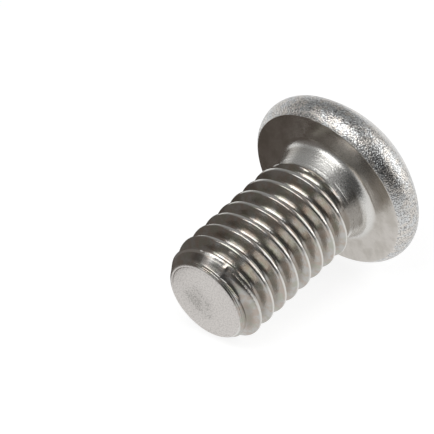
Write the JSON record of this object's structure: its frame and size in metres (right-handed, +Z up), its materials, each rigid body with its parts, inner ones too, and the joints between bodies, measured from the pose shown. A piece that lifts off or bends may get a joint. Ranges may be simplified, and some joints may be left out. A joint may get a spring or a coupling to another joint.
{
  "type": "button-head machine screw",
  "caption": "Short machine screw with a low domed head, a hexagon socket drive and a right-hand metric coarse thread, lying on its side.",
  "frame": {"origin": "on the table that the screw lies on, under the middle of its bounding box", "axes": "+X along the screw as seen from above, from the tip to the head; +Z up; the screw's own axis rises from the tip to the head at 12.6 degrees above +X, in the XZ plane"},
  "size_m": [0.0138, 0.0102, 0.01],
  "materials": {
    "stainless_steel": "bright cold-formed stainless steel, finely pitted on the head, smooth and darker on the rolled thread"
  },
  "bodies": {
    "root": {"screw": "stainless_steel"}
  },
  "joints": []
}
